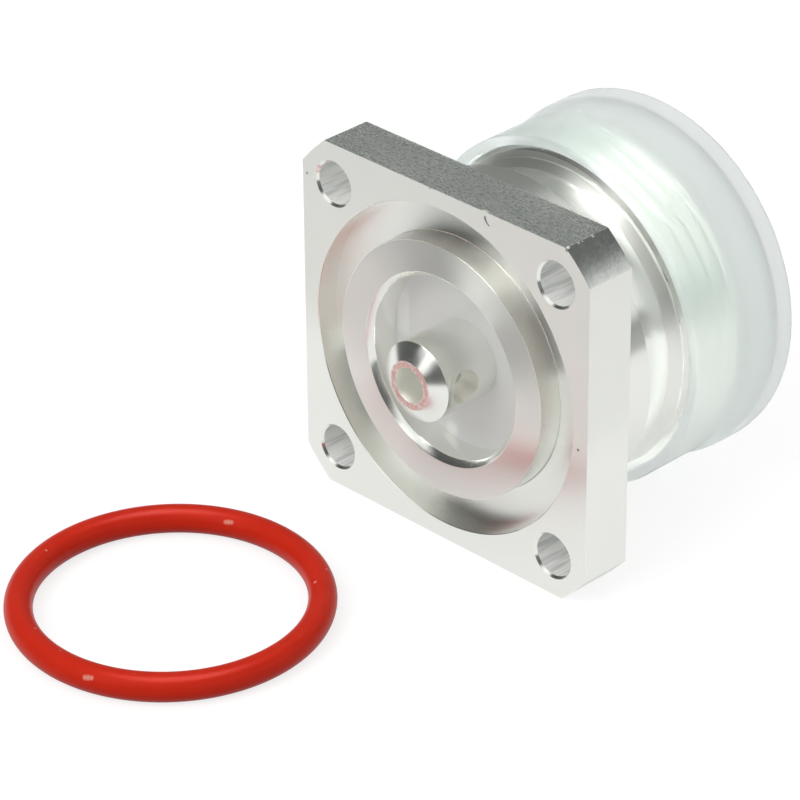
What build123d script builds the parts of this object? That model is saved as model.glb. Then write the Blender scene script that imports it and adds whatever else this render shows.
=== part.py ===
from build123d import *
import math
import os

# Coaxial panel connector, 7/16 size, lying with its axis along +Y.
# The origin is the middle of the flange's rear face, which seats on the panel and looks along -Y.
# +Y runs towards the mating end, +Z is up, and every size is in millimetres.

# Fits and seats
press_gap = 0.02  # radial play drawn between pieces that are pressed together
cap_play = 0.075  # radial play of the cap over the thread crests

# Flange
flange_side = 32.0
flange_thickness = 4.8
flange_turning_d = 41.7  # the corners are what turning leaves of a square bar
hole_pitch = 24.75
hole_d = 3.7
hole_chamfer = 0.2

# O-ring, and the groove that takes it
ring_section_d = 2.4
ring_inner_d = 22.4
groove_width = 3.15
groove_depth = 2.0
boss_d = 22.5
boss_proud = 0.3  # how far the boss stands out past the flange's rear face
boss_edge = 0.1

# Where the O-ring lies, taken out of its groove, on the surface that the flange's edge rests on
ring_rest_x = -7.55
ring_rest_y = -23.45

# Line size of the connector: inside of the outer conductor, outside of the inner one
line_outer_d = 16.0
line_inner_d = 7.0
rear_bore_depth = 3.0  # from the boss's face to the insulator
rear_chamfer = 0.5

# Barrel behind the flange
shoulder_d = 28.7
shoulder_length = 4.35
undercut_d = 25.54
undercut_length = 3.85
runout_length = 0.86  # the cone from the undercut up to the thread's root
shoulder_edge = 0.15

# Thread, M29 x 1.5, drawn as parallel ridges with its pitch, crests and roots
thread_d = 28.85
thread_depth = 0.955
thread_length = 6.44
thread_pitch = 1.5
thread_crest_flat = 0.15
thread_flank = 30.0  # degrees between a flank and a cut across the axis
thread_lead_in = 0.7
thread_start_chamfer = 0.45

# Insulator and the waist of the contact that it grips
bead_d = 20.0
bead_thickness = 5.0
waist_d = 6.0

# Mating mouth
mouth_d = 22.0
mouth_depth = 4.5
mouth_lead_in = 0.8
seat_recess_d = 18.1
seat_recess_depth = 1.8

# Solder cup
cup_reach = 3.8  # how far the cup's tip stands out past the flange's rear face
cup_cone_length = 0.9
cup_tip_d = 4.22
cup_bore_d = 3.1
cup_bore_depth = 7.0
vent_d = 2.9
vent_from_tip = 2.93

# Spring socket
socket_set_back = 0.3  # the socket's end below the outer contact face
socket_bore_d = 4.9
socket_bore_depth = 7.5
socket_edge = 0.35
slot_width = 0.45
slot_length = 6.5
slot_cuts = 2  # each cut goes right across and makes two slots

# Protective cap
cap_skirt_start = 13.6  # from the flange's rear face to the mouth of the skirt
cap_skirt_length = 5.9
cap_flare_length = 3.0
cap_head_length = 2.7
cap_wall = 0.9
cap_flare = 0.47  # how much the head's radius grows over the skirt's
cap_floor = 1.3
cap_edge = 0.8
cap_lip_edge = 0.12

# Places along the axis that follow from the sizes above, and the thread's root
root_d = thread_d - 2 * thread_depth
boss_y = -boss_proud
bead_y = boss_y + rear_bore_depth
bead_end_y = bead_y + bead_thickness
shoulder_end_y = flange_thickness + shoulder_length
undercut_end_y = shoulder_end_y + undercut_length
runout_end_y = undercut_end_y + runout_length
nose_y = runout_end_y + thread_length
mouth_floor_y = nose_y - mouth_depth
contact_face_y = mouth_floor_y - seat_recess_depth
socket_y = contact_face_y - socket_set_back
cup_y = -cup_reach
cap_flare_y = cap_skirt_start + cap_skirt_length
cap_head_y = cap_flare_y + cap_flare_length
cap_end_y = cap_head_y + cap_head_length
rest_z = -flange_side / 2

# The valley between two ridges, from its middle outwards
ridge_y = runout_end_y + thread_start_chamfer + thread_crest_flat / 2
valley_y = ridge_y + thread_pitch / 2
valley_count = round((nose_y - ridge_y) / thread_pitch)
valley_slope = math.tan(math.radians(thread_flank))
valley_top = (thread_pitch - thread_crest_flat) / 2
valley_root = valley_top - thread_depth * valley_slope
valley_over = 0.05  # how far the cut starts outside the crests

# The flange's rear face, seen from the mating side so that the sketch's y is up
rear_face = Plane(origin=(0, 0, 0), x_dir=(-1, 0, 0), z_dir=(0, 1, 0))


# Shell: flange, boss, barrel and nose in one turned and milled piece
with BuildPart() as shell:
    with BuildSketch(rear_face):
        Rectangle(flange_side, flange_side)
        Circle(flange_turning_d / 2, mode=Mode.INTERSECT)
        with GridLocations(hole_pitch, hole_pitch, 2, 2):
            Circle(hole_d / 2, mode=Mode.SUBTRACT)
    extrude(amount=flange_thickness)
    mouth_edges = shell.edges().filter_by(GeomType.CIRCLE).filter_by(lambda e: e.radius < hole_d)
    chamfer(mouth_edges, hole_chamfer)

    # The turned outside, from the boss's face to the nose, as half a section
    with BuildSketch(Plane.XY):
        with BuildLine():
            Polyline(
                (0, boss_y),
                (boss_d / 2 - boss_edge, boss_y),
                (boss_d / 2, boss_y + boss_edge),
                (boss_d / 2, flange_thickness),
                (shoulder_d / 2, flange_thickness),
                (shoulder_d / 2, shoulder_end_y - shoulder_edge),
                (shoulder_d / 2 - shoulder_edge, shoulder_end_y),
                (undercut_d / 2, shoulder_end_y),
                (undercut_d / 2, undercut_end_y),
                (root_d / 2, runout_end_y),
                (thread_d / 2, runout_end_y + thread_start_chamfer),
                (thread_d / 2, nose_y - thread_lead_in),
                (thread_d / 2 - thread_lead_in, nose_y),
                (0, nose_y),
                close=True,
            )
        make_face()
    revolve(axis=Axis.Y)

    # The thread's valleys
    with BuildSketch(Plane.XY):
        with Locations([(0, valley_y + turn * thread_pitch) for turn in range(valley_count)]):
            Polygon(
                (root_d / 2, -valley_root),
                (root_d / 2, valley_root),
                (thread_d / 2 + valley_over, valley_top + valley_over * valley_slope),
                (thread_d / 2 + valley_over, -valley_top - valley_over * valley_slope),
                align=None,
            )
    revolve(axis=Axis.Y, mode=Mode.SUBTRACT)

    # The O-ring groove round the boss
    with BuildSketch(rear_face):
        Circle(boss_d / 2 + groove_width)
        Circle(boss_d / 2, mode=Mode.SUBTRACT)
    extrude(amount=groove_depth, mode=Mode.SUBTRACT)

    # The stepped bore: rear chamfer, line bore, bead chamber and mating mouth
    with BuildSketch(Plane.XY):
        with BuildLine():
            Polyline(
                (0, boss_y),
                (line_outer_d / 2 + rear_chamfer, boss_y),
                (line_outer_d / 2, boss_y + rear_chamfer),
                (line_outer_d / 2, bead_y),
                (bead_d / 2, bead_y),
                (bead_d / 2, mouth_floor_y),
                (mouth_d / 2, mouth_floor_y),
                (mouth_d / 2, nose_y - mouth_lead_in),
                (mouth_d / 2 + mouth_lead_in, nose_y),
                (0, nose_y),
                close=True,
            )
        make_face()
    revolve(axis=Axis.Y, mode=Mode.SUBTRACT)
shell.part.label = "shell"

# Insulator bead: seats on the shell's inner shoulder and grips the contact's waist
with BuildPart() as insulator:
    with BuildSketch(Plane.XY):
        with BuildLine():
            Polyline(
                (waist_d / 2 + press_gap, bead_y),
                (bead_d / 2 - press_gap, bead_y),
                (bead_d / 2 - press_gap, bead_end_y),
                (waist_d / 2 + press_gap, bead_end_y),
                close=True,
            )
        make_face()
    revolve(axis=Axis.Y)
insulator.part.label = "insulator"

# Press ring: holds the bead and carries the outer contact face at the bottom of its recess
with BuildPart() as press_ring:
    with BuildSketch(Plane.XY):
        with BuildLine():
            Polyline(
                (line_outer_d / 2, bead_end_y),
                (bead_d / 2 - press_gap, bead_end_y),
                (bead_d / 2 - press_gap, mouth_floor_y),
                (seat_recess_d / 2, mouth_floor_y),
                (seat_recess_d / 2, contact_face_y),
                (line_outer_d / 2, contact_face_y),
                close=True,
            )
        make_face()
    revolve(axis=Axis.Y)
press_ring.part.label = "press_ring"

# Centre contact: solder cup with its vent, waist in the bead, slotted spring socket
with BuildPart() as centre_contact:
    with BuildSketch(Plane.XY):
        with BuildLine():
            Polyline(
                (0, cup_y),
                (cup_tip_d / 2, cup_y),
                (line_inner_d / 2, cup_y + cup_cone_length),
                (line_inner_d / 2, bead_y),
                (waist_d / 2, bead_y),
                (waist_d / 2, bead_end_y),
                (line_inner_d / 2, bead_end_y),
                (line_inner_d / 2, socket_y - socket_edge),
                (line_inner_d / 2 - socket_edge, socket_y),
                (0, socket_y),
                close=True,
            )
        make_face()
    revolve(axis=Axis.Y)
    with BuildSketch(rear_face.offset(cup_y)):
        Circle(cup_bore_d / 2)
    extrude(amount=cup_bore_depth, mode=Mode.SUBTRACT)
    with BuildSketch(rear_face.offset(socket_y)):
        Circle(socket_bore_d / 2)
    extrude(amount=-socket_bore_depth, mode=Mode.SUBTRACT)
    with BuildSketch(Plane.YZ):
        with Locations((cup_y + vent_from_tip, 0)):
            Circle(vent_d / 2)
    extrude(amount=line_inner_d, mode=Mode.SUBTRACT)
    with BuildSketch(rear_face.offset(socket_y)):
        with PolarLocations(0, slot_cuts, 45, 180):
            Rectangle(slot_width, line_inner_d + slot_width)
    extrude(amount=-slot_length, mode=Mode.SUBTRACT)
centre_contact.part.label = "centre_contact"

# Protective cap: a thin cup whose skirt grips the thread and whose head flares out
cap_skirt_inner = thread_d / 2 + cap_play
cap_head_inner = cap_skirt_inner + cap_flare
with BuildPart() as protective_cap:
    with BuildSketch(Plane.XY):
        with BuildLine():
            Polyline(
                (cap_skirt_inner, cap_skirt_start),
                (cap_skirt_inner + cap_wall, cap_skirt_start),
                (cap_skirt_inner + cap_wall, cap_flare_y),
                (cap_head_inner + cap_wall, cap_head_y),
                (cap_head_inner + cap_wall, cap_end_y),
                (0, cap_end_y),
                (0, cap_end_y - cap_floor),
                (cap_head_inner, cap_end_y - cap_floor),
                (cap_head_inner, cap_head_y),
                (cap_skirt_inner, cap_flare_y),
                close=True,
            )
        make_face()
    revolve(axis=Axis.Y)
    end_edge = protective_cap.edges().filter_by(GeomType.CIRCLE).group_by(Axis.Y)[-1]
    fillet(end_edge, cap_edge)
    lip_edges = protective_cap.edges().filter_by(GeomType.CIRCLE).group_by(Axis.Y)[0]
    fillet(lip_edges.sort_by(SortBy.RADIUS)[-1], cap_lip_edge)
protective_cap.part.label = "protective_cap"

# Flange O-ring: fits round the boss, and lies beside the connector
ring_radius = (ring_inner_d + ring_section_d) / 2
with BuildPart() as flange_o_ring:
    with Locations((ring_rest_x, ring_rest_y, rest_z + ring_section_d / 2)):
        Torus(ring_radius, ring_section_d / 2)
flange_o_ring.part.label = "flange_o_ring"

os.makedirs("parts", exist_ok=True)
for piece in (shell, insulator, press_ring, centre_contact, protective_cap, flange_o_ring):
    export_step(piece.part, f"parts/{piece.part.label}.step")
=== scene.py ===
import math
import bpy
from mathutils import Matrix, Vector


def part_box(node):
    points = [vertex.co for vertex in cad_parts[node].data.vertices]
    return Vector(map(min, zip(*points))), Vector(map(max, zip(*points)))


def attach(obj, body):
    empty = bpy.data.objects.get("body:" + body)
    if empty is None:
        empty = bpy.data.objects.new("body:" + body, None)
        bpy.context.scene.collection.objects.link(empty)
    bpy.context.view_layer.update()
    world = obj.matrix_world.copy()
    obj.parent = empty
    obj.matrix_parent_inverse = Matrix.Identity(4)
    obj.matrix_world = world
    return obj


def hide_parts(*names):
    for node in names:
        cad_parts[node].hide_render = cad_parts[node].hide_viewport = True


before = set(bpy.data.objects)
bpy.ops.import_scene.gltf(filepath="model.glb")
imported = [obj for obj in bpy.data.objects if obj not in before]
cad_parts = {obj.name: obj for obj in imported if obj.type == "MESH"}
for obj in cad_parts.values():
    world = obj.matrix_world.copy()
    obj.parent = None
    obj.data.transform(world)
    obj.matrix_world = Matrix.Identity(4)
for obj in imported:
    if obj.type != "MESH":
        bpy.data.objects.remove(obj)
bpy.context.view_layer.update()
mm = 0.001  # sizes below are in millimetres
weld = mm / 2000  # points closer than this become one
print("frame loaded")


# Modelling helpers

def deselectAll():
    if bpy.context.mode != "OBJECT":
        bpy.ops.object.mode_set(mode="OBJECT")
    bpy.ops.object.select_all(action="DESELECT")


def pick(piece):
    deselectAll()
    piece.select_set(True)
    bpy.context.view_layer.objects.active = piece


def applyPlace(piece):
    pick(piece)
    bpy.ops.object.transform_apply(location=True, rotation=True, scale=True)


def softened(outline, size):
    # Each inner corner of an outline gives way to three points, as a tool's nose leaves it
    mostOfEdge = 0.45  # share of a neighbouring edge that a corner may take
    arcMiddle = 0.41  # puts the middle point on the arc of a square corner
    points = [Vector(p) for p in outline]
    result = [points[0]]
    for before, corner, after in zip(points, points[1:], points[2:]):
        back, on = before - corner, after - corner
        reach = min(size, back.length * mostOfEdge, on.length * mostOfEdge)
        start = corner + back.normalized() * reach
        end = corner + on.normalized() * reach
        middle = (start + end) / 2
        result += [start, middle.lerp(corner, arcMiddle), end]
    return result + [points[-1]]


def turned(name, outline, steps=256):
    # A lathe job: one vertex is drawn out along the half section, and the line is spun round +Y
    deselectAll()
    bpy.ops.mesh.primitive_plane_add(size=mm)
    piece = bpy.context.active_object
    piece.name = name
    bpy.ops.object.mode_set(mode="EDIT")
    bpy.ops.mesh.merge(type="CENTER")
    here = Vector((0, 0))
    for count, point in enumerate(outline):
        step = Vector(point) - here
        move = (step.x * mm, step.y * mm, 0)
        if count == 0:
            bpy.ops.transform.translate(value=move)
        else:
            bpy.ops.mesh.extrude_vertices_move(TRANSFORM_OT_translate={"value": move})
        here = Vector(point)
    bpy.ops.mesh.select_all(action="SELECT")
    bpy.ops.mesh.spin(steps=steps, angle=2 * math.pi, center=(0, 0, 0), axis=(0, 1, 0))
    bpy.ops.mesh.select_all(action="SELECT")
    bpy.ops.mesh.remove_doubles(threshold=weld)
    bpy.ops.mesh.normals_make_consistent(inside=False)
    bpy.ops.object.mode_set(mode="OBJECT")
    return piece


def cut(piece, tool, operation="DIFFERENCE"):
    pick(piece)
    change = piece.modifiers.new("cut", "BOOLEAN")
    change.operation = operation
    change.solver = "EXACT"
    change.object = tool
    bpy.ops.object.modifier_apply(modifier=change.name)
    bpy.data.objects.remove(tool)


def smoothed(piece, degrees=32):
    pick(piece)
    bpy.ops.object.shade_smooth_by_angle(angle=math.radians(degrees))
    change = piece.modifiers.new("flats", "WEIGHTED_NORMAL")
    change.keep_sharp = True
    bpy.ops.object.modifier_apply(modifier=change.name)


def finished(piece, finishes, finishOf):
    # Each face takes the finish that finishOf gives for it
    piece.data.materials.clear()
    for finish in finishes:
        piece.data.materials.append(finish)
    for face in piece.data.polygons:
        face.material_index = finishes.index(finishOf(face))


def mounted(piece, body, node):
    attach(piece, body)
    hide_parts(node)


# Shader helpers

class Wire:
    # A socket whose arithmetic adds Math nodes
    def __init__(self, finish, socket):
        self.finish = finish
        self.socket = socket

    def joined(self, operation, first, second):
        return self.finish.math(operation, first, second)

    def __add__(self, other):
        return self.joined("ADD", self, other)

    def __radd__(self, other):
        return self.joined("ADD", other, self)

    def __sub__(self, other):
        return self.joined("SUBTRACT", self, other)

    def __rsub__(self, other):
        return self.joined("SUBTRACT", other, self)

    def __mul__(self, other):
        return self.joined("MULTIPLY", self, other)

    def __rmul__(self, other):
        return self.joined("MULTIPLY", other, self)

    def __truediv__(self, other):
        return self.joined("DIVIDE", self, other)

    def __rtruediv__(self, other):
        return self.joined("DIVIDE", other, self)


class Finish:
    # One node tree, of a material or of the world
    def __init__(self, name, world=False):
        self.data = (bpy.data.worlds if world else bpy.data.materials).new(name)
        self.data.use_nodes = True
        self.tree = self.data.node_tree
        self.tree.nodes.clear()

    def add(self, kind, settings=None, sockets=None, out=0):
        node = self.tree.nodes.new(kind)
        for key, value in (settings or {}).items():
            setattr(node, key, value)
        for key, value in (sockets or {}).items():
            if isinstance(value, Wire):
                self.tree.links.new(value.socket, node.inputs[key])
            else:
                node.inputs[key].default_value = value
        return Wire(self, node.outputs[out]) if node.outputs else None

    def outputs(self, wire, *names):
        return [Wire(self, wire.socket.node.outputs[name]) for name in names]

    def math(self, operation, *values):
        return self.add("ShaderNodeMath", {"operation": operation}, dict(enumerate(values)))

    def ramp(self, value, low, high, start=0.0, end=1.0):
        return self.add("ShaderNodeMapRange", {"interpolation_type": "SMOOTHSTEP"},
                        {0: value, 1: low, 2: high, 3: start, 4: end})

    def window(self, value, edges):
        # Two edges make a slope; four make a window that fades in over the first pair and out over the last
        rise = self.ramp(value, edges[0], edges[1])
        return rise if len(edges) == 2 else rise * self.ramp(value, edges[3], edges[2])

    def blend(self, mask, first, second):
        # Colours are mixed by the colour sockets of the Mix node
        return self.add("ShaderNodeMix", {"data_type": "RGBA"}, {0: mask, 6: first, 7: second}, out=2)

    def noise(self, scale, detail=3.0, vector=None, roughness=0.5):
        return self.add("ShaderNodeTexNoise", {}, {
            "Scale": scale, "Detail": detail, "Roughness": roughness, "Vector": vector or self.place})

    def start(self):
        self.place = self.add("ShaderNodeTexCoord", out="Object")
        split = self.add("ShaderNodeSeparateXYZ", {}, {0: self.place})
        self.x, self.y, self.z = self.outputs(split, "X", "Y", "Z")
        self.radius = self.math("SQRT", self.x * self.x + self.z * self.z)
        return self

    def spot(self, place, size, stretch=(1, 1, 1)):
        # 1 at a point of the object, fading to 0 at size from it, longer where stretch is small
        core = 0.35  # share of the size that is fully marked
        away = self.add("ShaderNodeVectorMath", {"operation": "SUBTRACT"},
                        {0: self.place, 1: tuple(c * mm for c in place)})
        away = self.add("ShaderNodeVectorMath", {"operation": "MULTIPLY"}, {0: away, 1: stretch})
        far = self.add("ShaderNodeVectorMath", {"operation": "LENGTH"}, {0: away}, out="Value")
        return self.ramp(far, size * mm, size * mm * core)

    def marked(self, marks):
        mask = self.spot(*marks[0])
        for mark in marks[1:]:
            mask = self.math("MAXIMUM", mask, self.spot(*mark))
        return mask

    def together(self, x, y, z):
        return self.add("ShaderNodeCombineXYZ", {}, {0: x, 1: y, 2: z})

    def bump(self, height, strength, distance):
        return self.add("ShaderNodeBump", {}, {"Strength": strength, "Distance": distance, "Height": height})

    def glossy(self, sockets):
        return self.add("ShaderNodeBsdfPrincipled", {}, sockets)

    def finishWith(self, shader, target="ShaderNodeOutputMaterial"):
        self.add(target, {}, {0: shader})
        return self.data


# Camera: the photograph's own view, solved from the flange

cameraView = {
    "azimuth": 45.292,
    "elevation": 29.816,
    "roll": -0.438,
    "focalPixels": 4228.5,
    "distance": 341.72,
    "originPixel": (442.46, 369.09),
    "imageSize": 800,
    "sensorWidth": 36,
    "clipStart": 0.01,
}


def towards(turn, level):
    # Turn 0 is -Y and 90 is +X; level is the height above the horizon
    t, e = math.radians(turn), math.radians(level)
    return Vector((math.sin(t) * math.cos(e), -math.cos(t) * math.cos(e), math.sin(e)))


def makeCamera(v):
    back = towards(v["azimuth"], v["elevation"])
    a, roll = math.radians(v["azimuth"]), math.radians(v["roll"])
    level = Vector((math.cos(a), math.sin(a), 0))
    upright = back.cross(level)
    right = level * math.cos(roll) + upright * math.sin(roll)
    up = upright * math.cos(roll) - level * math.sin(roll)
    half = v["imageSize"] / 2
    perPixel = v["distance"] * mm / v["focalPixels"]
    aside = (v["originPixel"][0] - half) * perPixel
    above = -(v["originPixel"][1] - half) * perPixel
    data = bpy.data.cameras.new("camera")
    data.sensor_width = v["sensorWidth"]
    data.lens = v["focalPixels"] / v["imageSize"] * data.sensor_width
    data.clip_start = v["clipStart"]
    camera = bpy.data.objects.new("camera", data)
    bpy.context.scene.collection.objects.link(camera)
    place = back * v["distance"] * mm - right * aside - up * above
    camera.matrix_world = Matrix.Translation(place) @ Matrix((right, up, back)).transposed().to_4x4()
    bpy.context.scene.camera = camera


makeCamera(cameraView)
print("camera placed")


# Studio: a pale floor and one soft lamp, in a room that only reflections see

worldLook = {
    "ambient": 0.74,
    "walls": (0.76, 0.92, 0.89, 1),
    "ceiling": (1.6, 1.62, 1.6, 1),
    "ceilingLean": (0.9, 0.2),  # how much height and +X count towards the ceiling
    "ceilingFrom": (0.28, 0.75),
    "bareLeft": (0.04, 0.042, 0.041, 1),
    "bareRight": (0.54, 0.555, 0.55, 1),
    "bareAcross": (-0.5, 0.6),
    "overheadUp": (0.52, 0.74),
    "overheadAcross": (-0.5, -0.1),
}
floorLook = {
    "radius": 6,
    "colour": (0.32, 0.32, 0.317, 1),
    "liftSeen": 0.765,
    "liftThrough": 0.57,
    "liftMirrored": 0.60,
    "farFrom": (0.13, 0.24),
    "farGlow": 0.40,
    "edgeFrom": (-0.075, -0.145),
    "roomColour": (0.93, 1.0, 0.97, 1),
    "roomGlow": 0.14,
}
# Turns and levels of the room are in degrees: a pair is a slope and four are a window
roomLook = {
    "radius": 0.9,
    "dark": 0.085,
    "walls": [((-62.0, -95.0), 0.10), ((-100.0, -130.0), 0.05), ((20.0, 75.0), 0.06)],
    "cameraSide": {"turn": (36.0, 52.0, 78.0, 115.0), "level": (60.0, 30.0), "glow": 0.25},
    "cameraSideUpper": {"level": (5.0, 17.0), "glow": 0.24},
    "softBox": {"turn": (-44.0, -26.0, 26.0, 60.0), "level": (26.0, 38.0, 58.0, 78.0), "glow": 0.95},
    "softBoxMiddle": {"turn": (-20.0, -11.0, 1.0, 10.0), "level": (0.0, 12.0, 38.0, 45.0), "glow": 1.25},
    "whiteCard": {"turn": (90.0, 118.0, 142.0, 150.0), "level": (5.0, 14.0, 31.0, 37.0), "glow": 0.9},
    "cardFoot": {"turn": (80.0, 110.0, 142.0, 160.0), "level": (9.0, 2.0), "glow": 0.40},
    "overhead": {"level": (64.0, 76.0), "glow": 9.0},
    "tintFrom": (0.2, 0.6),
    "darkTint": (0.97, 1.0, 0.965, 1),
    "brightTint": (1.0, 1.0, 0.99, 1),
}
lampLook = {
    "direction": (-6.0, 44.0),
    "distance": 0.7,
    "size": (0.42, 0.42),
    "radiance": 3.0,
}


def pathParts(finish, *names):
    return finish.outputs(finish.add("ShaderNodeLightPath"), *names)


def makeWorld(s):
    finish = Finish("studioWorld", world=True)
    camera, glossy, through, mirrors, walls = pathParts(
        finish, "Is Camera Ray", "Is Glossy Ray", "Is Transmission Ray", "Glossy Depth", "Transmission Depth")
    strength = s["ambient"] + finish.math("MAXIMUM", camera, glossy) * (1 - s["ambient"])
    # What the metal under the cap mirrors: a bright ceiling over mint-tinted walls
    way = finish.add("ShaderNodeSeparateXYZ", {}, {0: finish.add("ShaderNodeTexCoord", out="Generated")})
    aside, above = finish.outputs(way, "X", "Z")
    upLean, asideLean = s["ceilingLean"]
    height = above * upLean + aside * asideLean
    mirrored = finish.blend(finish.ramp(height, *s["ceilingFrom"]), s["walls"], s["ceiling"])
    # The bare metal behind the skirt mirrors the room through the cap's wall alone
    pastCap = finish.blend(finish.ramp(aside, *s["bareAcross"]), s["bareLeft"], s["bareRight"])
    overhead = finish.ramp(above, *s["overheadUp"]) * finish.ramp(aside, *s["overheadAcross"])
    pastCap = finish.blend(overhead, pastCap, s["ceiling"])
    someMirror, oneWall = 0.5, 2.5  # one bounce or more, and at most the two faces of one wall
    bare = finish.math("GREATER_THAN", mirrors, someMirror) * finish.math("LESS_THAN", walls, oneWall)
    mirrored = finish.blend(bare, mirrored, pastCap)
    colour = finish.blend(through, finish.together(strength, strength, strength), mirrored)
    shader = finish.add("ShaderNodeBackground", {}, {"Color": colour})
    bpy.context.scene.world = finish.finishWith(shader, "ShaderNodeOutputWorld")


def makeFloor(s):
    # In reflections the table ends in front of the flange's face and grows darker far out
    deselectAll()
    bpy.ops.mesh.primitive_circle_add(vertices=96, radius=s["radius"], fill_type="NGON",
                                      location=(0, 0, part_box("shell")[0].z))
    floor = bpy.context.active_object
    floor.name = "floor"
    finish = Finish("paleFloor").start()
    camera, glossy, through = pathParts(finish, "Is Camera Ray", "Is Glossy Ray", "Is Transmission Ray")
    lift = camera * s["liftSeen"] + through * s["liftThrough"] + glossy * s["liftMirrored"]
    matt = finish.add("ShaderNodeBsdfDiffuse", {}, {"Color": s["colour"]})
    glow = finish.add("ShaderNodeEmission", {}, {"Strength": lift})
    table = finish.add("ShaderNodeAddShader", {}, {0: matt, 1: glow})
    dusk = finish.add("ShaderNodeEmission", {}, {"Strength": s["farGlow"]})
    room = finish.add("ShaderNodeEmission", {}, {"Color": s["roomColour"], "Strength": s["roomGlow"]})
    away = finish.math("SQRT", finish.x * finish.x + finish.y * finish.y)
    far = finish.ramp(away, *s["farFrom"]) * glossy
    past = finish.ramp(finish.y, *s["edgeFrom"]) * glossy
    shown = finish.add("ShaderNodeMixShader", {}, {0: far, 1: table, 2: dusk})
    shown = finish.add("ShaderNodeMixShader", {}, {0: past, 1: shown, 2: room})
    floor.data.materials.append(finish.finishWith(shown))


def makeRoom(s):
    # The dark room with its soft box, white card and overhead light, which show only as reflections
    deselectAll()
    bpy.ops.mesh.primitive_uv_sphere_add(segments=96, ring_count=48, radius=s["radius"])
    dome = bpy.context.active_object
    dome.name = "ceiling"
    f = Finish("roomDark").start()
    turn = f.math("ARCTAN2", f.x, -1 * f.y) * (180 / math.pi)
    level = f.math("ARCSINE", f.z / s["radius"]) * (180 / math.pi)
    shade = s["dark"]
    for edges, glow in s["walls"]:
        shade = shade + f.window(turn, edges) * glow
    side, upper = s["cameraSide"], s["cameraSideUpper"]
    sideMask = f.window(turn, side["turn"]) * f.window(level, side["level"])
    shade = shade + sideMask * (side["glow"] + f.window(level, upper["level"]) * upper["glow"])
    for name in ("softBox", "softBoxMiddle", "whiteCard", "cardFoot", "overhead"):
        part = s[name]
        mask = f.window(level, part["level"])
        if "turn" in part:
            mask = f.window(turn, part["turn"]) * mask
        shade = shade + mask * (part["glow"] - shade)
    tint = f.blend(f.window(shade, s["tintFrom"]), s["darkTint"], s["brightTint"])
    room = f.finishWith(f.add("ShaderNodeEmission", {}, {"Color": tint, "Strength": shade}))
    room.cycles.emission_sampling = "NONE"
    dome.data.materials.append(room)
    dome.visible_camera = False
    dome.visible_transmission = False
    dome.visible_diffuse = False
    dome.visible_shadow = False


def makeLamp(s):
    wide, high = s["size"]
    data = bpy.data.lights.new("softBox", "AREA")
    data.shape = "RECTANGLE"
    data.size, data.size_y = wide, high
    data.energy = s["radiance"] * math.pi * wide * high
    lamp = bpy.data.objects.new("softBox", data)
    bpy.context.scene.collection.objects.link(lamp)
    way = towards(*s["direction"])
    lamp.location = way * s["distance"]
    lamp.rotation_mode = "QUATERNION"
    lamp.rotation_quaternion = way.to_track_quat("Z", "Y")
    lamp.visible_camera = False
    lamp.visible_glossy = False


makeWorld(worldLook)
makeFloor(floorLook)
makeRoom(roomLook)
makeLamp(lampLook)
bpy.context.scene.view_settings.view_transform = "Standard"
print("studio lit")


# Silver finishes

holePitch = 24.75  # between the axes of the flange's holes
silverLook = {
    "colour": (0.93, 0.94, 0.90, 1),
    "cloudy": (0.90, 0.91, 0.87, 1),
    "speck": (0.16, 0.16, 0.15, 1),
    # painted reflection of the red O-ring, for the contact's tip face
    "ringReflectionTint": (0.74, 0.48, 0.45, 1),
    "handled": (-4 * mm, 1 * mm),  # heights between which the gloss grows duller
    "latheMarks": 9000.0,
    "latheDepth": 0.00001,
    "scratchDepth": 0.00008,
}
insideLook = {
    "colour": (0.92, 0.92, 0.86, 1),
    "cloudy": (0.80, 0.80, 0.75, 1),
    "rough": 0.5,
    # strength of the painted glow in the deep cup and vent
    "glow": 0.08,
}
drilledLook = {
    # pale and dark of the painted reflection bands on the hole walls
    "pale": (0.99, 0.99, 0.975, 1),
    "dark": (0.68, 0.70, 0.68, 1),
    "darkFrom": (0.42, 0.64),
    "fineness": 1300.0,
    "metal": 0.15,
    "rough": 0.35,
    "depth": 0.4,
}
sawnLook = {
    "dark": (0.64, 0.67, 0.65, 1),
    "light": (0.92, 0.94, 0.91, 1),
    # white of the painted glints on scratches, burrs and grain
    "speck": (0.97, 0.97, 0.95, 1),
    "grain": 6500.0,
    "crossing": 1900.0,
    "patch": 300.0,
}

# Small marks on the flange: place in millimetres, size, and how squeezed they are along x, y and z
flangeMarks = [
    ((4.70, 0.0, 15.50), 0.15),
    ((4.72, 0.0, 15.40), 0.15),
    ((4.76, 0.0, 15.30), 0.14),
    ((4.82, 0.0, 15.20), 0.13),
    ((4.89, 0.0, 15.11), 0.12),
    ((4.97, 0.0, 15.03), 0.11),
    ((5.06, 0.0, 14.96), 0.10),
    ((5.15, 0.0, 14.91), 0.09),
    ((-11.99, 0.0, 5.81), 0.15),
    ((14.99, 0.0, -1.41), 0.17),
    ((-15.49, 0.0, 12.27), 0.14),
    ((-1.34, 0.0, 15.92), 0.13),
    ((-4.72, -0.3, 8.6), 0.12),
    ((13.50, 0.0, 15.84), 0.24),
]
# Burrs and a nick's raised lip on the flange's edges, painted white as glints
flangeBurrGlints = [
    ((4.60, 0.05, 16.0), 0.26, (0.7, 1, 1)),
    ((4.92, 0.12, 16.0), 0.14),
    ((13.42, 0.20, 15.95), 0.20, (1.2, 0.8, 1)),
    ((13.5, 1.35, 15.95), 0.13),
    ((13.48, 1.75, 15.95), 0.10),
    ((13.5, 2.95, 15.95), 0.15, (0.8, 1.2, 1)),
    ((12.13, 3.84, 16.0), 0.12),
    ((3.69, 1.06, 16.0), 0.11),
]


def handling(f, duller):
    return f.ramp(f.z, *silverLook["handled"]) * duller


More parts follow.
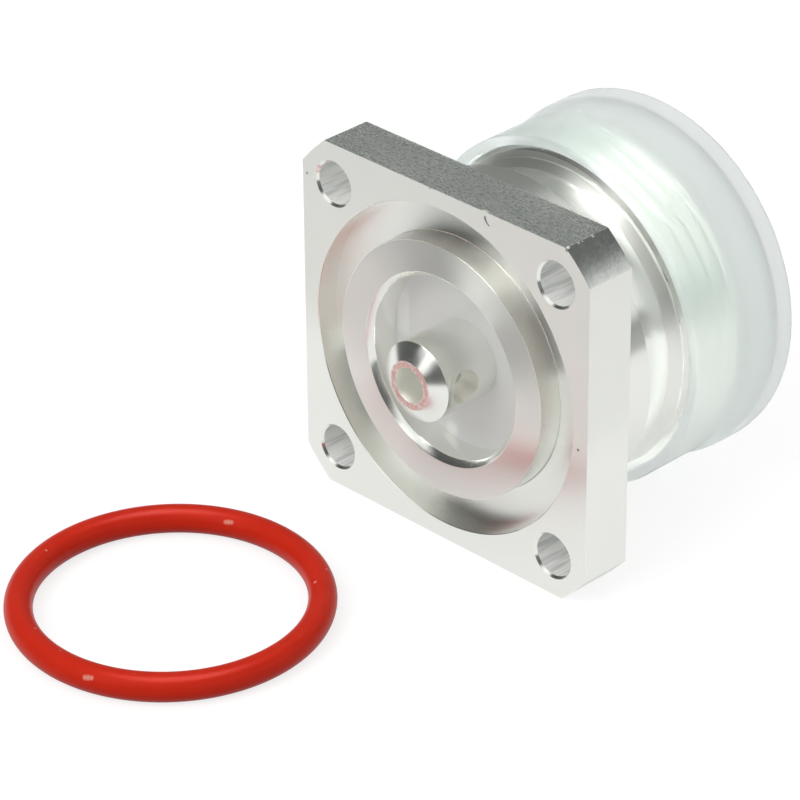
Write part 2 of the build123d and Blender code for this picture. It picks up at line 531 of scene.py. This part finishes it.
def turnedSilver(name, rough, stretch, marks, duller=0.0):
    # Lathe marks run round the axis, so the gloss spreads across them; handling dulls the upper half
    f = Finish(name).start()
    finest = silverLook["latheMarks"]
    rings = f.noise(1.0, 2.0, f.together(f.radius * finest, f.y * finest, 0.0))
    cloud = f.noise(260.0)
    return f.finishWith(f.glossy({
        "Base Color": f.blend(cloud, silverLook["colour"], silverLook["cloudy"]),
        "Metallic": 1.0,
        "Roughness": rough + (cloud - 0.5) * 0.06 + handling(f, duller),
        "Anisotropic": stretch,
        "Anisotropic Rotation": 0.25,
        "Tangent": f.add("ShaderNodeTangent", {"direction_type": "RADIAL", "axis": "Y"}),
        "Normal": f.bump(rings, marks, silverLook["latheDepth"])}))


def plainSilver(name, rough, marks=None, duller=0.0, reflectionTint=None):
    # Flat milled faces and small edges, which blur alike in every direction
    f = Finish(name).start()
    cloud = f.noise(180.0)
    colour = f.blend(cloud, silverLook["colour"], silverLook["cloudy"])
    metal = 1.0
    # On the contact's tip face: a painted reflection of the red O-ring, in patches
    if reflectionTint:
        reflectionPatches = f.ramp(f.noise(3200.0), 0.30, 0.62, start=0.2, end=0.9)
        colour = f.blend(reflectionPatches, colour, reflectionTint)
    if marks:
        dark = f.marked(marks)
        colour = f.blend(dark, colour, silverLook["speck"])
        metal = 1 - dark * 0.6
    return f.finishWith(f.glossy({
        "Base Color": colour,
        "Metallic": metal,
        "Roughness": rough + (cloud - 0.5) * 0.05 + handling(f, duller)}))


def insideSilver(name, s):
    # The bottom of the solder cup and of its vent, with a painted glow standing in for the light bounced
    # about in them
    f = Finish(name).start()
    colour = f.blend(f.noise(900.0), s["colour"], s["cloudy"])
    return f.finishWith(f.glossy({
        "Base Color": colour,
        "Metallic": 1.0,
        "Roughness": s["rough"],
        "Emission Color": colour,
        "Emission Strength": s["glow"]}))


def drilledSilver(name, s):
    # Painted reflection: a pale, mostly unmetallic wall with pale and dark bands along each hole's own axis,
    # over fine scratches along it
    f = Finish(name).start()
    across = (f.math("ABSOLUTE", f.x) - holePitch / 2 * mm) * s["fineness"]
    above = (f.math("ABSOLUTE", f.z) - holePitch / 2 * mm) * s["fineness"]
    paintedReflectionBands = f.noise(1.0, 2.0, f.together(across, f.y * 60.0, above))
    scratch = f.noise(1.0, 3.0, f.together(across * 4.0, f.y * 350.0, above * 4.0))
    dark = f.ramp(paintedReflectionBands * 0.6 + scratch * 0.4, *s["darkFrom"])
    return f.finishWith(f.glossy({
        "Base Color": f.blend(dark, s["pale"], s["dark"]),
        "Metallic": s["metal"],
        "Roughness": s["rough"],
        "Normal": f.bump(paintedReflectionBands * 0.4 + scratch * 0.6, s["depth"], silverLook["scratchDepth"])}))


def sawnSilver(name, s, depth, rough, drawn):
    # The flange's sawn edge: fine scratches along the cut and a few across it, with painted glints on the
    # scratches, the burrs and the grain
    f = Finish(name).start()
    grain = f.noise(s["grain"], 3.0, f.together(f.x * drawn, f.y, f.z * drawn), 0.7)
    crossing = f.noise(s["crossing"], 3.0, f.together(f.x, f.y * 0.16, f.z), 0.6)
    patch = f.noise(s["patch"], 5.0, f.together(f.x * 0.35, f.y, f.z * 0.35), 0.75)
    # real scratches and burrs, painted bright as glints; the grain's flecks are painted glints too
    crossScratchGlints = f.ramp(crossing, 0.62, 0.74) * f.ramp(patch, 0.45, 0.6)
    burrAndScratchGlints = f.math("MAXIMUM", crossScratchGlints * 0.35, f.marked(flangeBurrGlints))
    grainGlints = f.ramp(grain, 0.65, 0.72) * f.ramp(patch, 0.40, 0.60) * 0.8
    glintMask = f.math("MAXIMUM", burrAndScratchGlints, grainGlints)
    colour = f.blend(f.ramp(patch * 0.6 + grain * 0.4, 0.30, 0.70), s["dark"], s["light"])
    return f.finishWith(f.glossy({
        "Base Color": f.blend(glintMask, colour, s["speck"]),
        "Metallic": 1 - glintMask * 0.7,
        "Roughness": rough + (grain - 0.5) * 0.2,
        "Normal": f.bump(grain * 0.7 + crossing * 0.3, depth, silverLook["scratchDepth"])}))


silver = turnedSilver("turnedSilver", rough=0.20, stretch=0.9, marks=0.10)
silverFaced = turnedSilver("facedSilver", rough=0.29, stretch=0.9, marks=0.06, duller=0.28)
silverGroove = turnedSilver("grooveSilver", rough=0.26, stretch=0.92, marks=0.06, duller=0.08)
silverRunout = turnedSilver("runoutSilver", rough=0.36, stretch=0.5, marks=0.2)
silverThread = turnedSilver("threadSilver", rough=0.27, stretch=0.3, marks=0.05)
silverContact = turnedSilver("contactSilver", rough=0.23, stretch=0.7, marks=0.2)
silverBore = plainSilver("boreSilver", rough=0.11)
silverFlat = plainSilver("milledSilver", rough=0.30, marks=flangeMarks, duller=0.22)
silverEdge = plainSilver("edgeSilver", rough=0.18)
silverCup = plainSilver("cupSilver", rough=0.2)
silverTip = plainSilver("tipSilver", rough=0.28, reflectionTint=silverLook["ringReflectionTint"])
silverInside = insideSilver("insideSilver", insideLook)
silverDrilled = drilledSilver("drilledSilver", drilledLook)
silverSawn = sawnSilver("sawnSilver", sawnLook, depth=0.22, rough=0.28, drawn=0.28)
silverCorner = sawnSilver("cornerSilver", sawnLook, depth=0.12, rough=0.18, drawn=0.6)
print("silver mixed")


# Shell

shellLow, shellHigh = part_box("shell")
shellSizes = {
    "flangeHalf": shellHigh.x / mm,
    "flangeThickness": 4.8,
    "flangeCorner": 20.85,
    "flangeEdge": 0.07,
    "holePitch": holePitch,
    "hole": 1.85,
    "holeChamfer": 0.2,
    "boss": 11.25,
    "bossFace": shellLow.y / mm,
    "grooveOuter": 14.4,
    "grooveFloor": 2.0,
    "grooveFillet": 0.09,
    "bore": 8.0,
    "boreChamfer": 0.5,
    "beadSeat": 2.7,
    "beadChamber": 10.0,
    "shoulder": 14.35,
    "shoulderRooted": 1.6,
    "shoulderEnd": 9.15,
    "undercut": 12.77,
    "undercutEnd": 13.0,
    "root": 13.47,
    "rootStart": 13.55,
    "runoutSlope": 1.3,
    "runoutLength": 0.4,
    "blankBelowRoot": 0.2,
    "firstCrest": 14.385,
    "crest": 14.425,
    "leadIn": 0.7,
    "pitch": 1.5,
    "threadStep": 0.06,
    "nose": shellHigh.y / mm,
    "mouth": 11.0,
    "mouthDepth": 4.5,
    "mouthLeadIn": 0.8,
    "soft": 0.05,
}


def threadBlank(s, y):
    # Outside of the barrel before the thread is cut
    rise = s["root"] + (y - s["rootStart"]) * s["runoutSlope"]
    fall = s["crest"] - (y - (s["nose"] - s["leadIn"]))
    return max(min(rise, fall, s["crest"]), s["root"] - s["blankBelowRoot"])


def threadRadius(s, y, angle):
    # A right-hand 60 degree thread: flat crest, flanks and flat root
    turns = (y - s["firstCrest"]) / s["pitch"] - angle / (2 * math.pi)
    fromCrest = abs(turns - round(turns)) * s["pitch"] - s["pitch"] / 20
    return max(s["crest"] - max(fromCrest, 0) * math.sqrt(3), s["root"])


def makePlate(s):
    # A round blank of the bar, milled flat on four sides, with its edges broken
    deselectAll()
    t = s["flangeThickness"]
    bpy.ops.mesh.primitive_cylinder_add(vertices=720, radius=s["flangeCorner"] * mm, depth=t * mm,
                                        location=(0, t / 2 * mm, 0), rotation=(math.pi / 2, 0, 0))
    plate = bpy.context.active_object
    plate.name = "flangedShell"
    applyPlace(plate)
    bpy.ops.object.mode_set(mode="EDIT")
    half = s["flangeHalf"] * mm
    for side in ((1, 0, 0), (-1, 0, 0), (0, 0, 1), (0, 0, -1)):
        bpy.ops.mesh.select_all(action="SELECT")
        bpy.ops.mesh.bisect(plane_co=tuple(half * c for c in side), plane_no=side,
                            clear_outer=True, use_fill=True, threshold=1e-7)
    bpy.ops.mesh.select_all(action="SELECT")
    bpy.ops.mesh.remove_doubles(threshold=weld)
    bpy.ops.mesh.normals_make_consistent(inside=False)
    bpy.ops.object.mode_set(mode="OBJECT")
    change = plate.modifiers.new("edges", "BEVEL")
    change.width = s["flangeEdge"] * mm
    change.segments = 2
    change.limit_method = "ANGLE"
    change.angle_limit = math.radians(25)
    bpy.ops.object.modifier_apply(modifier=change.name)
    return plate


def shellFinish(s, face):
    x, y, z = face.center / mm
    r = math.hypot(x, z)
    t, hair, near = s["flangeThickness"], 0.01, 0.02
    fromHole = math.hypot(abs(x) - s["holePitch"] / 2, abs(z) - s["holePitch"] / 2)
    flat = abs(face.normal.y) > 0.95
    if fromHole < s["hole"] + s["holeChamfer"] + hair and 0 < y < t and not flat:
        return silverDrilled if abs(face.normal.y) < 0.3 else silverEdge
    if flat and min(abs(y), abs(y - t)) < near:
        return silverFlat
    if r > s["grooveOuter"] + near and y < t + hair:
        if abs(x) > s["flangeHalf"] - near:
            return silverFlat
        if abs(z) > s["flangeHalf"] - near:
            return silverSawn
        return silverCorner if r > s["flangeCorner"] - near else silverEdge
    if y > s["rootStart"] + s["runoutLength"] and r > s["root"] - s["blankBelowRoot"] / 2:
        return silverThread
    if y > s["undercutEnd"] and r > s["undercut"] + hair:
        return silverRunout
    if r < s["bore"] + near and y < s["beadSeat"]:
        return silverBore
    if flat and y > 0:
        return silverGroove
    return silverFaced if flat else silver


def shellCore(s):
    # Everything but the plate: boss, shoulder, undercut, threaded barrel and the bores
    rooted = s["flangeThickness"] - s["shoulderRooted"]
    outside = [
        (s["bore"], s["beadSeat"]),
        (s["bore"], s["bossFace"] + s["boreChamfer"]),
        (s["bore"] + s["boreChamfer"], s["bossFace"]),
        (s["boss"], s["bossFace"]),
        (s["boss"], s["grooveFloor"] - s["grooveFillet"]),
        (s["boss"] + s["grooveFillet"], s["grooveFloor"]),
        (s["boss"] + s["grooveFillet"], rooted),
        (s["shoulder"], rooted),
        (s["shoulder"], s["shoulderEnd"]),
        (s["undercut"], s["shoulderEnd"]),
        (s["undercut"], s["undercutEnd"]),
        (s["root"], s["rootStart"]),
    ]
    barrel = []
    y = s["rootStart"]
    while y < s["nose"] - s["threadStep"] / 2:
        y += s["threadStep"]
        barrel.append((threadBlank(s, y), min(y, s["nose"])))
    mouthFloor = s["nose"] - s["mouthDepth"]
    inside = [
        (s["crest"] - s["leadIn"], s["nose"]),
        (s["mouth"] + s["mouthLeadIn"], s["nose"]),
        (s["mouth"], s["nose"] - s["mouthLeadIn"]),
        (s["mouth"], mouthFloor),
        (s["beadChamber"], mouthFloor),
        (s["beadChamber"], s["beadSeat"]),
        (s["bore"], s["beadSeat"]),
    ]
    outline = softened(outside, s["soft"])[:-1] + [outside[-1]] + barrel[:-1] + softened(inside, s["soft"])
    core = turned("core", outline)
    hair = 0.01
    for v in core.data.vertices:
        x, y, z = v.co / mm
        r = math.hypot(x, z)
        if s["rootStart"] < y < s["nose"] + hair and r > s["root"] - s["blankBelowRoot"] + hair:
            reach = min(r, threadRadius(s, y, math.atan2(x, z)))
            v.co.x *= reach / r
            v.co.z *= reach / r
    return core


def makeShell(s):
    plate = makePlate(s)
    t, c, past = s["flangeThickness"], s["holeChamfer"], 1.0
    drill = [(0, -past), (s["hole"] + c + past, -past), (s["hole"], c), (s["hole"], t - c),
             (s["hole"] + c + past, t + past), (0, t + past)]
    for sx in (-1, 1):
        for sz in (-1, 1):
            tool = turned("holeTool", drill, 96)
            tool.location = (sx * s["holePitch"] / 2 * mm, 0, sz * s["holePitch"] / 2 * mm)
            applyPlace(tool)
            cut(plate, tool)
    groove, soft, through = s["grooveOuter"], s["soft"], s["beadChamber"] + 0.5
    cut(plate, turned("grooveTool", [(0, -past), (groove + soft + past, -past), (groove, soft),
                                     (groove, s["grooveFloor"]), (0, s["grooveFloor"])]))
    cut(plate, turned("throughTool", [(0, 0), (through, 0), (through, t + past), (0, t + past)]))
    cut(plate, shellCore(s), "UNION")
    smoothed(plate)
    finishes = (silver, silverFaced, silverGroove, silverBore, silverFlat, silverEdge, silverDrilled,
                silverSawn, silverCorner, silverRunout, silverThread)
    finished(plate, finishes, lambda face: shellFinish(s, face))
    mounted(plate, "connector", "shell")
    return plate


shell = makeShell(shellSizes)
print("shell turned", len(shell.data.polygons))


# Centre contact

contactLow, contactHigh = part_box("centre_contact")
contactSizes = {
    "line": 3.5,
    "waist": 3.0,
    "tip": 2.11,
    "tipY": contactLow.y / mm,
    "cone": 0.9,
    "cup": 1.55,
    "cupDepth": 7.0,
    "vent": 1.45,
    "ventFromTip": 2.93,
    "beadStart": 2.7,
    "beadEnd": 7.7,
    "socketY": contactHigh.y / mm,
    "socketBore": 2.45,
    "socketDepth": 7.5,
    "socketEdge": 0.35,
    "slotWidth": 0.45,
    "slotLength": 6.5,
    "soft": 0.04,
}


def contactFinish(s, face):
    x, y, z = face.center / mm
    r = math.hypot(x, z)
    near = 0.02
    byVent = abs(y - s["tipY"] - s["ventFromTip"]) < s["vent"] + near
    if y < s["beadStart"] and (r < s["cup"] + near or byVent and r < s["line"] - 0.05):
        return silverInside
    if face.normal.y < -0.9 and y < 0:
        return silverTip
    return silverCup if s["tipY"] + s["cone"] + near < y < s["beadStart"] else silverContact


def makeContact(s):
    outline = [
        (0, s["tipY"] + s["cupDepth"]),
        (s["cup"], s["tipY"] + s["cupDepth"]),
        (s["cup"], s["tipY"]),
        (s["tip"], s["tipY"]),
        (s["line"], s["tipY"] + s["cone"]),
        (s["line"], s["beadStart"]),
        (s["waist"], s["beadStart"]),
        (s["waist"], s["beadEnd"]),
        (s["line"], s["beadEnd"]),
        (s["line"], s["socketY"] - s["socketEdge"]),
        (s["line"] - s["socketEdge"], s["socketY"]),
        (s["socketBore"], s["socketY"]),
        (s["socketBore"], s["socketY"] - s["socketDepth"]),
        (0, s["socketY"] - s["socketDepth"]),
    ]
    contact = turned("centreContact", softened(outline, s["soft"]), 160)
    # The vent is drilled through the near wall only
    deselectAll()
    drillPlace = (s["line"] * 0.7 * mm, (s["tipY"] + s["ventFromTip"]) * mm, 0)
    bpy.ops.mesh.primitive_cylinder_add(vertices=72, radius=s["vent"] * mm, depth=s["line"] * mm * 1.2,
                                        location=drillPlace, rotation=(0, math.pi / 2, 0))
    vent = bpy.context.active_object
    applyPlace(vent)
    cut(contact, vent)
    # Two crossing saw cuts, open at the socket's end, leave four spring fingers
    past = 1
    sawPlace = (0, (s["socketY"] - s["slotLength"] / 2 + past / 2) * mm, 0)
    sawSize = (s["slotWidth"] * mm, (s["slotLength"] + past) * mm, s["line"] * 2.4 * mm)
    for turn in (math.pi / 4, -math.pi / 4):
        deselectAll()
        bpy.ops.mesh.primitive_cube_add(size=1, location=sawPlace, rotation=(0, turn, 0), scale=sawSize)
        saw = bpy.context.active_object
        applyPlace(saw)
        cut(contact, saw)
    smoothed(contact)
    finishes = (silverContact, silverCup, silverTip, silverInside)
    finished(contact, finishes, lambda face: contactFinish(s, face))
    mounted(contact, "connector", "centre_contact")


makeContact(contactSizes)
print("contact turned")


# Press ring

ringLow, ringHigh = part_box("press_ring")
pressRingSizes = {
    "outer": ringHigh.x / mm,
    "start": ringLow.y / mm,
    "end": ringHigh.y / mm,
    "bore": 8.0,
    "recess": 9.05,
    "recessDepth": 1.8,
    "soft": 0.05,
}


def makePressRing(s):
    outer, bore, recess, start, end = (s[k] for k in ("outer", "bore", "recess", "start", "end"))
    floor = end - s["recessDepth"]
    middle = (start + end) / 2
    outline = [(bore, middle), (bore, floor), (recess, floor), (recess, end), (outer, end),
               (outer, start), (bore, start), (bore, middle)]
    ring = turned("pressRing", softened(outline, s["soft"]))
    smoothed(ring)
    ring.data.materials.append(silver)
    mounted(ring, "connector", "press_ring")


makePressRing(pressRingSizes)
print("press ring turned")


# Insulator bead

beadLow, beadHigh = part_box("insulator")
beadSizes = {
    "outer": beadHigh.x / mm,
    "start": beadLow.y / mm,
    "end": beadHigh.y / mm,
    "hole": 3.02,
    "soft": 0.08,
}
beadLook = {
    "colour": (0.45, 0.445, 0.44, 1),
    "glow": 0.54,
    "glowRed": 0.98,
    "glowBlue": 0.955,
    "glowStrength": 0.45,
    # a painted highlight spot and a painted reflection streak on the bead's face
    "paintedHighlightSpot": ((-1.57, 2.7, -7.27), 0.9),
    "paintedStreakAside": 7.15 * mm,
    "paintedStreakHalf": (0.85 * mm, 0.5 * mm),
    "paintedStreakFoot": (-0.9 * mm, 0.0),
    "paintedStreakTop": (4.2 * mm, 3.0 * mm),
}


def beadPlastic(name, s):
    # A painted glow, a little uneven, stands in for light coming through the bead from the open mating end
    # and evens out its shading; a painted highlight spot and a painted reflection streak lie on its face
    f = Finish(name).start()
    cloud = f.noise(160.0)
    # painted highlight spot, then a painted reflection streak running up the bead's face
    pale = f.spot(*s["paintedHighlightSpot"])
    paintedStreak = f.ramp(f.math("ABSOLUTE", f.x + s["paintedStreakAside"]), *s["paintedStreakHalf"])
    paintedStreak = paintedStreak * f.ramp(f.z, *s["paintedStreakFoot"]) * f.ramp(f.z, *s["paintedStreakTop"])
    glow = s["glow"] + (cloud - 0.5) * 0.12 + pale * 0.26 + paintedStreak * 0.16
    return f.finishWith(f.glossy({
        "Base Color": s["colour"],
        "Roughness": 0.35,
        "IOR": 1.4,
        "Emission Color": f.together(glow * s["glowRed"], glow, glow * s["glowBlue"]),
        "Emission Strength": s["glowStrength"]}))


def makeBead(s):
    outer, hole, start, end = (s[k] for k in ("outer", "hole", "start", "end"))
    middle = (hole + outer) / 2
    outline = [(middle, start), (outer, start), (outer, end), (hole, end), (hole, start), (middle, start)]
    bead = turned("insulatorBead", softened(outline, s["soft"]))
    smoothed(bead)
    bead.data.materials.append(beadPlastic("beadPlastic", beadLook))
    mounted(bead, "connector", "insulator")


makeBead(beadSizes)
print("bead turned")


# Protective cap

capLow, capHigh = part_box("protective_cap")
capSizes = {
    "mouth": capLow.y / mm,
    "end": capHigh.y / mm,
    "headOuter": capHigh.x / mm,
    "wall": 0.9,
    "flare": 0.47,
    "flareStart": 19.5,
    "flareEnd": 22.5,
    "flareSteps": 12,
    "floor": 1.3,
    "floorFillet": 0.3,
    "edge": 0.8,
    "edgeSteps": 8,
    "lip": 0.16,
    "lipInside": 0.06,
}
capLook = {
    "hollowFrom": (18.6 * mm, 19.9 * mm),
    # the closed end is painted darker, as painted shade
    "paintedEndShadeFrom": (22.3 * mm, 23.2 * mm),
    "overThread": (0.975, 1.0, 0.992, 1),
    "head": (0.975, 0.99, 0.988, 1),
    "paintedEndShade": (0.853, 0.861, 0.858, 1),
    "glow": (0.965, 0.99, 0.98, 1),
    "paintedEndShadeGlow": (0.79, 0.80, 0.80, 1),
    "ior": 1.14,
    "clear": 0.9,
}


def capPlastic(name, s):
    # Frosted plastic, which lets more of the thread than of the hollow head show through; the closed end is
    # darkened with painted shade
    f = Finish(name).start()
    hollow = f.ramp(f.y, *s["hollowFrom"])
    paintedEndShade = f.ramp(f.y, *s["paintedEndShadeFrom"])
    clear = f.glossy({
        "Base Color": f.blend(paintedEndShade, f.blend(hollow, s["overThread"], s["head"]), s["paintedEndShade"]),
        "Roughness": 0.37 + f.noise(120.0) * 0.06,
        "IOR": s["ior"],
        "Transmission Weight": s["clear"],
        "Normal": f.bump(f.noise(700.0), 0.05, 0.00005)})
    milky = f.add("ShaderNodeBsdfTranslucent", {}, {"Color": f.blend(paintedEndShade, s["glow"], s["paintedEndShadeGlow"])})
    share = 0.12 + hollow * 0.26
    return f.finishWith(f.add("ShaderNodeMixShader", {}, {0: share, 1: clear, 2: milky}))


def flared(s, outer):
    # The wall's smooth S from the wide head down to the skirt
    points = []
    for i in range(s["flareSteps"] + 1):
        t = i / s["flareSteps"]
        ease = t * t * (3 - 2 * t)
        points.append((outer - s["flare"] * ease, s["flareEnd"] + (s["flareStart"] - s["flareEnd"]) * t))
    return points


def makeCap(s):
    head, wall, edge, lip, mouth = (s[k] for k in ("headOuter", "wall", "edge", "lip", "mouth"))
    bow = 0.3  # share of a small corner's size that its middle point keeps from the corner
    outline = [(0, s["end"])]
    for i in range(s["edgeSteps"] + 1):
        a = math.pi / 2 * (1 - i / s["edgeSteps"])
        outline.append((head - edge + edge * math.cos(a), s["end"] - edge + edge * math.sin(a)))
    outline += flared(s, head)
    skirt = head - s["flare"]
    outline += [(skirt, mouth + lip), (skirt - lip * bow, mouth + lip * bow), (skirt - lip, mouth),
                (skirt - wall + s["lipInside"], mouth), (skirt - wall, mouth + s["lipInside"])]
    outline += reversed(flared(s, head - wall))
    inner, fillet = s["end"] - s["floor"], s["floorFillet"]
    outline += [(head - wall, inner - fillet), (head - wall - fillet * bow, inner - fillet * bow),
                (head - wall - fillet, inner), (0, inner)]
    cap = turned("protectiveCap", outline)
    smoothed(cap, 50)
    cap.data.materials.append(capPlastic("capPlastic", capLook))
    mounted(cap, "cap", "protective_cap")


makeCap(capSizes)
print("cap turned")


# O-ring

oRingSizes = {
    "narrow": 0.985,
    "sideRoom": 0.0002,  # keeps the longer way inside the solid's box
    "aroundSteps": 220,
    "sectionSteps": 48,
}
siliconeLook = {
    "colour": (0.56, 0.012, 0.0, 1),
    "cloudy": (0.62, 0.020, 0.002, 1),
    "scuff": (0.86, 0.42, 0.32, 1),
    "scuffed": 0.6,
    "specular": 0.2,
}
# Pale scuffs and lint on the O-ring: place in millimetres and size
oRingMarks = [
    ((-12.30, -13.03, -14.06), 0.30),
    ((-12.10, -12.91, -14.03), 0.32),
    ((-11.88, -12.79, -14.00), 0.28),
    ((-3.30, -36.22, -14.24), 0.30),
    ((-3.06, -36.12, -14.20), 0.32),
    ((-2.80, -36.01, -14.16), 0.28),
    ((-0.01, -14.61, -13.75), 0.20),
    ((-0.73, -12.57, -13.75), 0.18),
    ((-6.87, -35.71, -13.75), 0.20),
    ((-10.79, -34.92, -13.75), 0.18),
    ((-0.25, -33.77, -13.75), 0.18),
    ((4.78, -29.02, -13.75), 0.20),
    ((-19.03, -26.67, -13.75), 0.18),
    ((-17.05, -25.38, -13.75), 0.16),
]


def redSilicone(name, s):
    f = Finish(name).start()
    cloud = f.noise(400.0, 4.0)
    colour = f.blend(cloud, s["colour"], s["cloudy"])
    return f.finishWith(f.glossy({
        "Base Color": f.blend(f.marked(oRingMarks) * s["scuffed"], colour, s["scuff"]),
        "Roughness": 0.30 + cloud * 0.10,
        "Specular IOR Level": s["specular"],
        "Normal": f.bump(cloud, 0.12, 0.00008)}))


def makeORing(s):
    low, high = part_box("flange_o_ring")
    section = (high.z - low.z) / 2
    deselectAll()
    bpy.ops.mesh.primitive_torus_add(major_segments=s["aroundSteps"], minor_segments=s["sectionSteps"],
                                     major_radius=(high.x - low.x) / 2 - section, minor_radius=section,
                                     location=(low + high) / 2)
    ring = bpy.context.active_object
    ring.name = "flangeORing"
    applyPlace(ring)
    # A loose ring isn't quite round: narrower across the view and longer along it
    narrow = s["narrow"]
    wide = math.sqrt(2 - narrow ** 2) - s["sideRoom"]
    for v in ring.data.vertices:
        away = v.co - (low + high) / 2
        across, along = (away.x + away.y) / 2, (away.x - away.y) / 2
        v.co.x += across * (narrow - 1) + along * (wide - 1)
        v.co.y += across * (narrow - 1) - along * (wide - 1)
    smoothed(ring, 60)
    ring.data.materials.append(redSilicone("redSilicone", siliconeLook))
    mounted(ring, "connector", "flange_o_ring")


makeORing(oRingSizes)
print("ring laid down")
